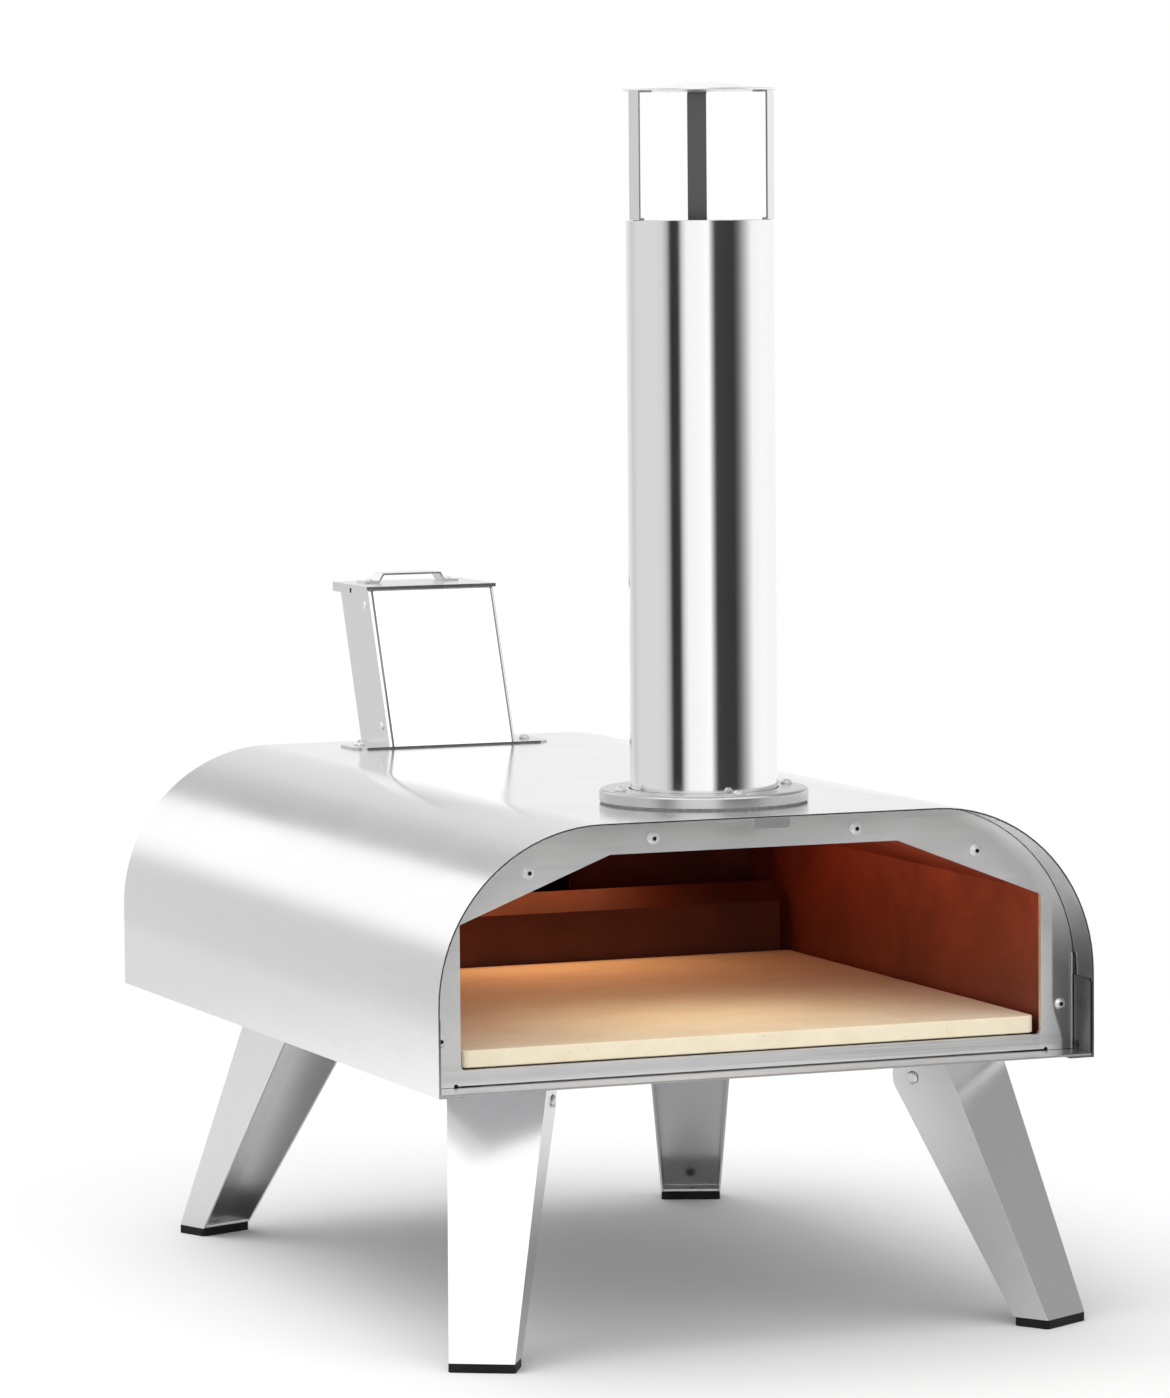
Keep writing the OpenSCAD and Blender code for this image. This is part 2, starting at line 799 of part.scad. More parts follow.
// Side view of one strap: inside the tube, stepped out over its rim, and bent in under the cap
module strap_profile() {
  low = tube_top_z - strap_reach;
  step = tube_top_z + rim_gap;
  high = cap_z - cap_t;
  rect(strap_low_r - strap_t, low, strap_low_r, step + strap_t);
  rect(strap_low_r - strap_t, step, strap_high_r, step + strap_t);
  rect(strap_high_r - strap_t, step, strap_high_r, high);
  rect(strap_high_r - strap_tab, high - strap_t, strap_high_r, high);
}

module cap_straps() {
  color("silver") for (a = STRAP_ANGLES) translate([0, chimney_y, 0]) rotate([0, 0, a])
    along_y(-strap_w / 2, strap_w / 2) strap_profile();
}

// ---- Legs ----

// Level distance from the hinge pin to the leg's broad face at the height of the shell's edge
function top_reach(lean) = pin_to_face - (base_z - pin_z) * tan(lean);

function lean_of(back) = back == 0 ? front_lean : rear_lean;

// Puts a child at a leg's hinge pin: +X outwards, Y along the pin.
// side is -1 for the left and 1 for the right, back is 0 for front and 1 for rear
module at_leg(side, back) {
  splay = back == 0 ? front_splay : rear_splay;
  ahead = back == 0 ? -1 : 1;
  reach = top_reach(lean_of(back));
  x = (back == 0 ? front_leg_x : rear_leg_x) - sin(splay) * reach;
  y = front_y + (back == 0 ? front_leg_back : rear_leg_back) - ahead * cos(splay) * reach;
  turn = ahead * (90 - splay);
  translate([side * x, y, pin_z]) rotate([0, 0, side == 1 ? turn : 180 - turn]) children();
}

module at_each_leg() {
  for (side = [-1, 1]) for (back = [0, 1]) at_leg(side, back) children();
}

module at_bracket_rivets() {
  for (s = [-1, 1]) translate([0, s * bracket_rivet_y, 0]) children();
}

// How far out the leg's broad face is at height z above the pin
function face_x(lean, z) = pin_to_face - z * tan(lean);

// Side view of a leg in local X and Z: rounded about the pin so that it can fold
module leg_profile(lean) {
  foot = -pin_z + pad_h;
  top = leg_round_r - 0.1;
  edge_x = face_x(lean, foot) - foot_depth;
  edge_lean = atan((edge_x + leg_round_r * cos(lean)) / (-foot - leg_round_r * sin(lean)));
  circle(leg_round_r);
  polygon([
    [0, 0], [0, top], [face_x(lean, top), top], [face_x(lean, foot), foot], [edge_x, foot],
    [-(leg_round_r - 0.1) * cos(edge_lean), -(leg_round_r - 0.1) * sin(edge_lean)]
  ]);
}

// Tapered blank of a leg with its broad face in the plane X = 0
module leg_blank(lean, side_in, depth, face_in) {
  length = (pin_z - pad_h + leg_round_r) / cos(lean);
  top = leg_top_w / 2 - side_in;
  foot = leg_foot_w / 2 - side_in;
  slope = (leg_top_w - leg_foot_w) / 2 / length;
  translate([-depth, 0, 0]) along_x(0, depth - face_in) polygon([
    [-top - slope * 20, 20], [top + slope * 20, 20],
    [foot - slope * 30, -length - 30], [-foot + slope * 30, -length - 30]
  ]);
}

module leg(lean) {
  foot = -pin_z + pad_h;
  edge_x = face_x(lean, foot) - foot_depth;
  color("gainsboro") difference() {
    union() {
      intersection() {
        translate([face_x(lean, leg_round_r), 0, leg_round_r]) rotate([0, -lean, 0]) difference() {
          leg_blank(lean, 0, leg_reach, 0);
          leg_blank(lean, leg_t, leg_reach + 2, leg_t);
        }
        along_y(-leg_span, leg_span) leg_profile(lean);
      }
      intersection() {
        translate([face_x(lean, leg_round_r), 0, leg_round_r]) rotate([0, -lean, 0])
          leg_blank(lean, leg_t / 2, leg_reach, leg_t / 2);
        translate([edge_x + 1, -leg_span, foot]) cube([foot_depth, 2 * leg_span, leg_t]);
      }
    }
    rotate([90, 0, 0]) cylinder(r = pin_r + pin_slack, h = 2 * leg_span, center = true);
    translate([edge_x + foot_depth / 2, 0, foot - through]) cylinder(r = spigot_r + spigot_gap, h = 6);
  }
}

module foot(lean) {
  top = -pin_z + pad_h;
  x1 = face_x(lean, top) + 0.5;
  x0 = x1 - foot_depth - 0.5;
  half = leg_foot_w / 2 + pad_rim;
  color("#151515") translate([x1 - 0.5 - foot_depth / 2, 0, 0]) {
    translate([0, 0, -pin_z]) linear_extrude(pad_h)
      rounded_rect(x0 - x1 + 0.5 + foot_depth / 2, -half, 0.5 + foot_depth / 2, half, pad_r);
    translate([0, 0, top - 1]) cylinder(r = spigot_r, h = 1 + spigot_h);
  }
}

module bracket() {
  color("darkgray") difference() {
    union() {
      for (s = [-1, 1]) translate([0, s * (ear_half_w - ear_t / 2), 0])
        along_y(-ear_t / 2, ear_t / 2) {
          circle(ear_r);
          rect(-ear_side, 0, ear_side, pin_drop);
        }
      translate([-ear_side, -ear_half_w, pin_drop - ear_t]) cube([2 * ear_side, 2 * ear_half_w, ear_t]);
    }
    rotate([90, 0, 0]) cylinder(r = pin_r, h = 100, center = true);
    at_bracket_rivets() cylinder(r = screw_r, h = 30);
  }
}

module hinge_pin() {
  color("silver") rotate([90, 0, 0]) {
    cylinder(r = pin_r, h = 2 * pin_half_len, center = true);
    for (s = [0, 180]) rotate([s, 0, 0]) translate([0, 0, pin_half_len])
      cylinder(r1 = pin_head_r, r2 = pin_head_r * 0.7, h = pin_head_h);
  }
}

module bracket_rivets() {
  color("lightgray") at_each_leg() at_bracket_rivets()
    translate([0, 0, pin_drop - ear_t]) rotate([180, 0, 0])
      rivet(ear_t + pan_t, screw_r, bracket_rivet_head_r);
}

module leg_front_left() { at_leg(-1, 0) leg(front_lean); }

module leg_front_right() { at_leg(1, 0) leg(front_lean); }

module leg_rear_left() { at_leg(-1, 1) leg(rear_lean); }

module leg_rear_right() { at_leg(1, 1) leg(rear_lean); }

module foot_front_left() { at_leg(-1, 0) foot(front_lean); }

module foot_front_right() { at_leg(1, 0) foot(front_lean); }

module foot_rear_left() { at_leg(-1, 1) foot(rear_lean); }

module foot_rear_right() { at_leg(1, 1) foot(rear_lean); }

module bracket_front_left() { at_leg(-1, 0) bracket(); }

module bracket_front_right() { at_leg(1, 0) bracket(); }

module bracket_rear_left() { at_leg(-1, 1) bracket(); }

module bracket_rear_right() { at_leg(1, 1) bracket(); }

module pin_front_left() { at_leg(-1, 0) hinge_pin(); }

module pin_front_right() { at_leg(1, 0) hinge_pin(); }

module pin_rear_left() { at_leg(-1, 1) hinge_pin(); }

module pin_rear_right() { at_leg(1, 1) hinge_pin(); }

outer_shell();
front_panel();
front_panel_screws();
front_frame();
door_hook();
rear_panel();
rear_panel_screws();
rear_frame();
base_pan();
base_insulation();
inner_liner();
roof_insulation();
inner_back_wall();
stone_rail_left();
stone_rail_right();
pizza_stone();
flame_deflector();
burner_box();
hopper_chute();
fuel_tray();
tray_door();
tray_handle();
tray_handle_screws();
hopper_plate();
hopper_plate_screws();
hopper_body();
hopper_rivets();
hopper_lid();
lid_handle();
lid_handle_rivets();
chimney_gasket();
chimney_flange();
chimney_flange_screws();
chimney_tube();
rain_cap();
cap_straps();
leg_front_left();
leg_front_right();
leg_rear_left();
leg_rear_right();
foot_front_left();
foot_front_right();
foot_rear_left();
foot_rear_right();
bracket_front_left();
bracket_front_right();
bracket_rear_left();
bracket_rear_right();
pin_front_left();
pin_front_right();
pin_rear_left();
pin_rear_right();
bracket_rivets();
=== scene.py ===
"""Looks of the table-top wood fired pizza oven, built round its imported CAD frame.

Metres and degrees, in the row frame: X right, Y from the mouth to the back, Z up. Shapes are the CAD nodes with
softened edges, and two pieces made here to fit the nodes' boxes. Every material is procedural.
"""

import math

import bmesh
import bpy
from mathutils import Matrix, Vector


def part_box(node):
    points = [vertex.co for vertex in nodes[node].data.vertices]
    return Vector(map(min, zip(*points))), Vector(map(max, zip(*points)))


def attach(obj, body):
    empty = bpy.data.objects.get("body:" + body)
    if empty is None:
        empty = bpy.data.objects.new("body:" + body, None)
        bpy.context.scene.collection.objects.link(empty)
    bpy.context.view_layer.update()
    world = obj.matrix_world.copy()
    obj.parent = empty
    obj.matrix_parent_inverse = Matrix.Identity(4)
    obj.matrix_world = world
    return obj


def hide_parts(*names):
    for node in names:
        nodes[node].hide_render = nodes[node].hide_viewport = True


MM = 0.001

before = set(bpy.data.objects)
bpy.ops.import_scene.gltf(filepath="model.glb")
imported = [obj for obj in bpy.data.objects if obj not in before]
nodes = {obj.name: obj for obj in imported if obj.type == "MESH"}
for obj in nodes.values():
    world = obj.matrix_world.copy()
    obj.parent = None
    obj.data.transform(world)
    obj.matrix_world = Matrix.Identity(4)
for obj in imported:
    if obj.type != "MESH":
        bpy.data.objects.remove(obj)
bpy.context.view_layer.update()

# ---------------------------------------------------------------- node helpers

# The places of a Mix node's A, B and result, for colours and for numbers
MIX_COLOUR = (6, 7, 2)
MIX_NUMBER = (2, 3, 0)


class Shader:
    """Short names for building one node tree."""

    def __init__(self, tree):
        self.tree = tree
        tree.nodes.clear()

    def add(self, kind, **settings):
        node = self.tree.nodes.new(kind)
        for name, value in settings.items():
            setattr(node, name, value)
        return node

    def link(self, source, target):
        self.tree.links.new(source, target)

    def put(self, socket, value):
        """Sets a socket to a number, vector or colour of three numbers, or links another socket to it."""
        if isinstance(value, bpy.types.NodeSocket):
            self.link(value, socket)
        elif socket.type == "RGBA":
            socket.default_value = (*value, 1.0)
        else:
            socket.default_value = value

    def math(self, operation, a, b=0.0):
        node = self.add("ShaderNodeMath", operation=operation)
        for socket, value in zip(node.inputs, (a, b)):
            self.put(socket, value)
        return node.outputs[0]

    def times(self, a, b):
        return self.math("MULTIPLY", a, b)

    def vector_math(self, operation, a, b=None):
        """A number for a length or a dot product, and a vector for the rest. b is a factor for SCALE."""
        node = self.add("ShaderNodeVectorMath", operation=operation)
        self.put(node.inputs[0], a)
        if b is not None:
            self.put(node.inputs["Scale"] if operation == "SCALE" else node.inputs[1], b)
        return node.outputs["Value" if operation in ("LENGTH", "DOT_PRODUCT") else "Vector"]

    def split(self, vector):
        node = self.add("ShaderNodeSeparateXYZ")
        self.link(vector, node.inputs[0])
        return node.outputs

    def remap(self, value, low, high, to_low=0.0, to_high=1.0, smooth=True):
        """Takes low..high to to_low..to_high and stays there beyond them. low may be the larger."""
        node = self.add("ShaderNodeMapRange", interpolation_type="SMOOTHSTEP" if smooth else "LINEAR")
        for socket, v in zip(node.inputs, (value, low, high, to_low, to_high)):
            self.put(socket, v)
        return node.outputs[0]

    def ramp(self, value, stops):
        """A colour ramp. stops are (position, grey or colour)."""
        node = self.add("ShaderNodeValToRGB")
        elements = node.color_ramp.elements
        while len(elements) < len(stops):
            elements.new(0.5)
        for element, (position, colour) in zip(elements, stops):
            element.position = position
            element.color = (*colour, 1) if hasattr(colour, "__len__") else (colour, colour, colour, 1)
        self.put(node.inputs[0], value)
        return node.outputs[0]

    def mix_of(self, kind, places, factor, a, b):
        node = self.add("ShaderNodeMix", data_type=kind)
        place_a, place_b, result = places
        self.put(node.inputs["Factor"], factor)
        self.put(node.inputs[place_a], a)
        self.put(node.inputs[place_b], b)
        return node.outputs[result]

    def mix(self, factor, a, b):
        return self.mix_of("RGBA", MIX_COLOUR, factor, a, b)

    def mix_value(self, factor, a, b):
        return self.mix_of("FLOAT", MIX_NUMBER, factor, a, b)

    def noise(self, vector, scale, detail=3.0, roughness=0.55, distortion=0.0):
        node = self.add("ShaderNodeTexNoise")
        self.put(node.inputs["Vector"], vector)
        for name, value in (("Scale", scale), ("Detail", detail), ("Roughness", roughness), ("Distortion", distortion)):
            node.inputs[name].default_value = value
        return node.outputs["Fac"]

    def place(self, stretch=(1, 1, 1)):
        """The surface point in the row frame at rest, scaled along each axis."""
        mapping = self.add("ShaderNodeMapping")
        mapping.inputs["Scale"].default_value = stretch
        self.link(self.add("ShaderNodeTexCoord").outputs["Object"], mapping.inputs["Vector"])
        return mapping.outputs["Vector"]

    def bump(self, height, distance, before=None):
        node = self.add("ShaderNodeBump")
        node.inputs["Distance"].default_value = distance
        self.put(node.inputs["Height"], height)
        if before is not None:
            self.link(before, node.inputs["Normal"])
        return node.outputs["Normal"]

    def choose(self, factor, a, b):
        """Shader a where factor is 0 and shader b where it is 1."""
        node = self.add("ShaderNodeMixShader")
        self.put(node.inputs[0], factor)
        self.link(a, node.inputs[1])
        self.link(b, node.inputs[2])
        return node.outputs[0]

    def end(self, shader, kind="ShaderNodeOutputMaterial"):
        self.link(shader, self.add(kind).inputs["Surface"])

    def surface(self, **sockets):
        """Ends the tree in one Principled BSDF. Names are the sockets', with _ for a space."""
        shader = self.add("ShaderNodeBsdfPrincipled")
        for name, value in sockets.items():
            self.put(shader.inputs[name.replace("_", " ")], value)
        self.end(shader.outputs[0])


def new_material(name):
    material = bpy.data.materials.new(name)
    material.use_nodes = True
    return material, Shader(material.node_tree)


# ---------------------------------------------------------------- materials

# How fine brushed lines lie along each axis: coarse across the grain and long along it
GRAIN = {"x": (12, 2600, 2600), "y": (2600, 12, 2600), "z": (2600, 2600, 12)}
BRUSH_DEPTH = 0.006 * MM
BUCKLE_DEPTH = 0.35 * MM
# Noise scales, in features per metre
SMUDGES, SPECKS, BUCKLES = 9.0, 140.0, 7.0
LINE_TONE, SPECK_TONE = 0.975, 0.9
LINE_ROUGHNESS = 0.10


def steel(name, colour, rough, grain, brushed=1.0, wave=1.0, smudge=0.05, shade=None):
    """Stainless sheet: fine brushed lines, faint smudges and the slight unevenness of rolled sheet.

    brushed and wave scale the lines and the unevenness, and smudge is how much rougher the smudges are. shade(s) may
    give a factor for the tone that changes from place to place, mostly painted light and shade.
    """
    material, s = new_material(name)
    lines = s.noise(s.place(GRAIN[grain]), 1.0, detail=4.0, roughness=0.6)
    patches = s.noise(s.place(), SMUDGES, detail=5.0, roughness=0.6)
    fine = s.noise(s.place(), SPECKS)
    roughness = s.math("ADD", s.remap(patches, 0.3, 0.75, rough, rough + smudge),
                       s.times(s.math("SUBTRACT", lines, 0.5), LINE_ROUGHNESS * brushed))
    tone = s.mix(s.remap(lines, 0.35, 0.65), tuple(c * LINE_TONE for c in colour), colour)
    tone = s.mix(s.remap(fine, 0.45, 0.8, 0.0, 0.05), tone, tuple(c * SPECK_TONE for c in colour))
    if shade:
        tone = s.vector_math("SCALE", tone, shade(s))
    normal = s.bump(s.noise(s.place(), BUCKLES, detail=1.0), BUCKLE_DEPTH * wave)
    normal = s.bump(lines, BRUSH_DEPTH * brushed, before=normal)
    s.surface(Base_Color=tone, Metallic=1.0, Roughness=roughness, Normal=normal)
    return material


# The heated sheet's tint towards the bottom, and the heights where it begins and ends
LOW_COLOUR = (0.10, 0.045, 0.028)
LOW_COLOUR_Z = (0.180, 0.245)


def heated(name, colour, rough):
    """Steel sheet browned by heat, its red partly painted firelight; darker and browner towards the bottom, with darker
    and paler patches.
    """
    material, s = new_material(name)
    patches = s.noise(s.place(), 11.0, detail=6.0, roughness=0.62, distortion=0.6)
    grain = s.noise(s.place(), 260.0, detail=4.0)
    tint = s.ramp(patches, [(0.25, tuple(c * 0.5 for c in colour)), (0.5, colour),
                            (0.7, tuple(min(1, c * 1.35) for c in colour))])
    tint = s.mix(s.remap(grain, 0.55, 0.8, 0.0, 0.35), tint, tuple(c * 0.4 for c in colour))
    z = s.split(s.place())[2]
    # Darker and browner towards the bottom
    tint = s.mix(s.remap(z, *LOW_COLOUR_Z, 0.5, 0.0), tint, LOW_COLOUR)
    roughness = s.remap(patches, 0.3, 0.7, rough + 0.14, rough)
    s.surface(Base_Color=tint, Metallic=0.45, Roughness=roughness, Normal=s.bump(grain, 0.03 * MM))
    return material


def stone():
    """Pale fired clay with a sandy face and a few darker specks."""
    material, s = new_material("baking_stone")
    body = s.noise(s.place(), 30.0, detail=6.0, roughness=0.6)
    grit = s.noise(s.place(), 900.0)
    specks = s.noise(s.place(), 420.0, detail=2.0)
    colour = s.ramp(body, [(0.3, (0.90, 0.79, 0.57)), (0.55, (0.96, 0.86, 0.65)), (0.75, (0.97, 0.90, 0.72))])
    colour = s.mix(s.remap(specks, 0.66, 0.74, 0.0, 0.35), colour, (0.55, 0.43, 0.30))
    normal = s.bump(body, 0.15 * MM, before=s.bump(grit, 0.12 * MM))
    s.surface(Base_Color=colour, Roughness=s.remap(grit, 0.3, 0.7, 0.72, 0.92), Normal=normal)
    return material


def rubber():
    """Matt black rubber with a little dust."""
    material, s = new_material("pad_rubber")
    fine = s.noise(s.place(), 700.0)
    dust = s.noise(s.place(), 60.0, detail=5.0)
    colour = s.mix(s.remap(dust, 0.5, 0.8, 0.0, 0.3), (0.005, 0.005, 0.0055), (0.03, 0.03, 0.03))
    s.surface(Base_Color=colour, Roughness=s.remap(fine, 0.3, 0.7, 0.5, 0.7), Specular_IOR_Level=0.2,
              Normal=s.bump(fine, 0.06 * MM))
    return material


def felt(name, dark, light, scale):
    """Matted fibres, finer for a larger scale."""
    material, s = new_material(name)
    fibres = s.noise(s.place(), scale, detail=6.0, roughness=0.7, distortion=1.2)
    colour = s.mix(s.remap(fibres, 0.35, 0.65), dark, light)
    s.surface(Base_Color=colour, Roughness=0.95, Normal=s.bump(fibres, 0.4 * MM))
    return material


# ---------------------------------------------------------------- tones that change from place to place, mostly painted light and shade

SHELL_AXIS = (0.0, 0.0, 0.23)
OVEN_AXIS = (0.0, 0.0, 0.0)
flue_low, flue_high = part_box("chimney_tube")
FLUE_AXIS = ((flue_low.x + flue_high.x) / 2, (flue_low.y + flue_high.y) / 2, 0.0)
ALONG_Y = (1.0, 0.0, 1.0)
ALONG_Z = (1.0, 1.0, 0.0)
# How far the surface looks away from an axis or towards it, in metres, for facing_in to say 0 or 1
LOOKS_AWAY, LOOKS_IN = 2 * MM, -4 * MM


def facing_in(s, axis, across):
    """1 on faces that look towards an axis, 0 on the others. across keeps the directions across the axis."""
    rest = s.add("ShaderNodeTexCoord").outputs
    away = s.vector_math("MULTIPLY", s.vector_math("SUBTRACT", rest["Object"], axis), across)
    return s.remap(s.vector_math("DOT_PRODUCT", away, rest["Normal"]), LOOKS_AWAY, LOOKS_IN)


# Each pair is where a change begins and where it is complete, in metres. A tone is a factor on the steel's own.
# Painted shade on the shell's inner side and a painted floor reflection on its lower edges
INSIDE_SHADE_X = (0.14, 0.185)
INSIDE_SHADE_Z, INSIDE_SHADE_TONES = (0.165, 0.275), (0.14, 0.50)
LOWER_EDGE_REFLECTION_Z, LOWER_EDGE_REFLECTION_TONE = (0.200, 0.182), 1.12


def shell_shade(s):
    """Painted shade: the shell's inner side is darker on the right, most of all low down, where the recess is in
    shadow.
    Painted reflection: its lower edges are lighter, where they mirror the bright floor.
    """
    x, _, z = s.split(s.place())
    # right is the painted shade, outside the painted reflection of the floor
    right = s.times(s.remap(x, *INSIDE_SHADE_X), facing_in(s, SHELL_AXIS, ALONG_Y))
    outside = s.remap(z, *LOWER_EDGE_REFLECTION_Z, 1.0, LOWER_EDGE_REFLECTION_TONE)
    return s.mix_value(right, outside, s.remap(z, *INSIDE_SHADE_Z, *INSIDE_SHADE_TONES, smooth=False))


INNER_FACE_TONE = 0.12


def strap_shade(s):
    """The straps' inner faces, towards the flue, are darker."""
    return s.mix_value(facing_in(s, FLUE_AXIS, ALONG_Z), 1.0, INNER_FACE_TONE)


plate_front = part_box("hopper_plate")[0].y
# Where the painted shade along the plate's front edge begins and ends, and its tone
SHADED_EDGE_Y = (plate_front + 0.5 * MM, plate_front + 0.3 * MM)
SHADED_EDGE_TONE = 0.35


def plate_shade(s):
    """Painted shade: the hopper plate's front edge is darker than its face, for the shadowed gap under it."""
    y = s.split(s.place())[1]
    return s.mix_value(s.remap(y, *SHADED_EDGE_Y), 1.0, SHADED_EDGE_TONE)


REAR_LEGS_Y = (0.0, 0.05)
# Painted light on the rear legs' hollow sides
HOLLOW_PAINTED_LIGHT = 1.38


def leg_shade(s):
    """Painted light: the rear legs' hollow sides are lighter than the shaded floor they mirror would make them."""
    y = s.split(s.place())[1]
    rear = s.times(facing_in(s, OVEN_AXIS, ALONG_Z), s.remap(y, *REAR_LEGS_Y))
    return s.mix_value(rear, 1.0, HOLLOW_PAINTED_LIGHT)


# Painted highlights on the sill, the shoulder and the strip right of the mouth; a painted shadow of the shell's edge on
# the upright
SILL_Z, SILL_HIGHLIGHT_TONE = (0.1640, 0.1632), 1.08
SILL_X, SILL_HIGHLIGHT_END_TONES = (-0.10, 0.10), (1.12, 0.90)
STREAK_GRAIN, STREAK_TONES = (9, 300, 900), (0.92, 1.10)
SHOULDER_X, SHOULDER_Z, SHOULDER_HIGHLIGHT_TONE = (0.10, 0.15), (0.225, 0.250), 1.14
RIGHT_HIGHLIGHT_X = (0.176, 0.178)
EDGE_SHADOW_X, EDGE_SHADOW_Z, EDGE_SHADOW_TONE = (0.1842, 0.1862), (0.255, 0.200), 0.34
EDGE_SHADOW_LEAN_Z, EDGE_SHADOW_LEAN = (0.184, 0.158), -6 * MM


def panel_shade(s):
    """Painted highlights on the sill, most at its left end, and on the panel's upper right beside the mouth; a painted
    shadow of the shell's edge on the upright beside the mouth's right side. The sill's streaks are its own.
    """
    x, _, z = s.split(s.place())
    # A painted shadow of the shell's edge, leaning with height
    lean = s.remap(z, *EDGE_SHADOW_LEAN_Z, 0.0, EDGE_SHADOW_LEAN)
    edge_shadow = s.times(s.remap(s.math("ADD", x, lean), *EDGE_SHADOW_X), s.remap(z, *EDGE_SHADOW_Z))
    sill = s.remap(z, *SILL_Z)
    streaks = s.remap(s.noise(s.place(STREAK_GRAIN), 1.0, detail=4.0), 0.35, 0.65, *STREAK_TONES)
    # A painted highlight, lightest at the sill's left end
    sill_highlight = s.remap(x, *SILL_X, *SILL_HIGHLIGHT_END_TONES)
    # Painted highlights on the shoulder and the strip right of the mouth
    shoulder_highlight = s.times(s.remap(x, *SHOULDER_X), s.remap(z, *SHOULDER_Z))
    right = s.math("MAXIMUM", shoulder_highlight, s.remap(x, *RIGHT_HIGHLIGHT_X))
    tone = s.mix_value(sill, 1.0, SILL_HIGHLIGHT_TONE)
    for place, factor in ((sill, streaks), (right, SHOULDER_HIGHLIGHT_TONE), (sill, sill_highlight), (edge_shadow, EDGE_SHADOW_TONE)):
        tone = s.times(tone, s.mix_value(place, 1.0, factor))
    return tone


# ---------------------------------------------------------------- finishes


def grey(value, blue=0.005):
    """A steel's base colour. blue is how much bluer it is than plain grey."""
    return (value, value, value + blue)


shell_steel = steel("shell_steel", grey(0.80), 0.13, "y", shade=shell_shade)
hopper_steel = steel("hopper_steel", grey(0.80), 0.13, "z")
strap_steel = steel("strap_steel", grey(0.74), 0.20, "z", shade=strap_shade)
panel_steel = steel("panel_steel", grey(0.90, -0.008), 0.36, "x", brushed=1.6, shade=panel_shade)
leg_steel = steel("leg_steel", grey(0.68), 0.24, "z", wave=0.3, smudge=0.02, shade=leg_shade)
tube_steel = steel("tube_steel", grey(0.82), 0.10, "x", brushed=0.6, wave=0.2, smudge=0.02)
fitting_steel = steel("fitting_steel", grey(0.76), 0.20, "x")
flange_steel = steel("flange_steel", grey(0.56), 0.24, "x")
plate_steel = steel("plate_steel", grey(0.60), 0.12, "x", wave=0.3, shade=plate_shade)
cap_steel = steel("cap_steel", grey(0.94), 0.42, "x", wave=0.2, smudge=0.02)
# A dark copy of the steel: painted shade in the hopper's seam grooves
seam_shade_steel = steel("seam_shade_steel", grey(0.22, 0.002), 0.35, "z")
rear_steel = steel("rear_steel", grey(0.62, -0.005), 0.34, "x", brushed=1.6)
# A near-black copy of the steel: painted shade on the ears deep in the front recess
ear_shade_steel = steel("ear_shade_steel", grey(0.13, 0.0), 0.3, "z", brushed=1.6)
hook_steel = steel("hook_steel", grey(0.50, -0.005), 0.36, "x", brushed=1.6)
mill_steel = steel("mill_steel", grey(0.58, 0.01), 0.30, "y", brushed=1.4)
screw_steel = steel("screw_steel", grey(0.86, 0.01), 0.40, "z", brushed=0.5, wave=0.0)
dull_steel = steel("dull_steel", grey(0.74), 0.38, "z", brushed=0.5, wave=0.0)
# Near-black steel: painted shade in screw sockets and on the ears' rivets
socket_shade = steel("socket_shade", grey(0.05, 0.0), 0.5, "z", wave=0.0)
# The liner's red-brown is heat browning with painted firelight in it
oven_steel = heated("oven_steel", (0.40, 0.072, 0.036), 0.42)
soot_steel = heated("soot_steel", (0.15, 0.032, 0.015), 0.5)
baking_stone = stone()
pad_rubber = rubber()
gasket_felt = felt("gasket_felt", (0.20, 0.20, 0.20), (0.34, 0.34, 0.34), 500.0)
ceramic_wool = felt("ceramic_wool", (0.70, 0.68, 0.62), (0.92, 0.90, 0.86), 160.0)

CORNERS = ("front_left", "front_right", "rear_left", "rear_right")
FINISH = {
    "outer_shell": shell_steel, "front_panel": panel_steel, "rear_panel": rear_steel, "door_hook": hook_steel,
    "front_panel_screws": screw_steel, "rear_panel_screws": screw_steel, "front_frame": mill_steel,
    "rear_frame": mill_steel, "base_pan": mill_steel, "base_insulation": ceramic_wool,
    "inner_liner": oven_steel, "roof_insulation": ceramic_wool, "inner_back_wall": soot_steel,
    "stone_rail_left": soot_steel, "stone_rail_right": soot_steel, "pizza_stone": baking_stone,
    "flame_deflector": soot_steel, "burner_box": soot_steel, "hopper_chute": mill_steel,
    "fuel_tray": soot_steel, "tray_door": plate_steel, "tray_handle": flange_steel,
    "tray_handle_screws": screw_steel, "hopper_plate": plate_steel, "hopper_plate_screws": screw_steel,
    "hopper_body": hopper_steel, "hopper_rivets": screw_steel, "hopper_lid": fitting_steel,
    "lid_handle": fitting_steel, "lid_handle_rivets": screw_steel, "chimney_gasket": gasket_felt,
    "chimney_flange": flange_steel, "chimney_flange_screws": dull_steel, "chimney_tube": tube_steel,
    "rain_cap": cap_steel, "cap_straps": strap_steel, "bracket_rivets": screw_steel,
}
for corner in CORNERS:
    FINISH["leg_" + corner] = leg_steel
    FINISH["foot_" + corner] = pad_rubber
    FINISH["bracket_" + corner] = mill_steel
    FINISH["pin_" + corner] = screw_steel

# ---------------------------------------------------------------- edges of the CAD nodes

PLAIN_EDGE = 0.22 * MM
EDGE = {
    "outer_shell": 0.42 * MM, "front_panel": 0.4 * MM, "pizza_stone": 0.8 * MM, "hopper_plate": 0.12 * MM,
    "hopper_lid": 0.15 * MM,
}
WELD_REACH = 0.001 * MM
FLAT_ANGLE = 0.3
SHARP_ANGLE = 32
BEVEL_SEGMENTS = 2
FACE_WEIGHT = 80
STORED_NORMALS = ("custom_normal", "sharp_edge", "sharp_face")


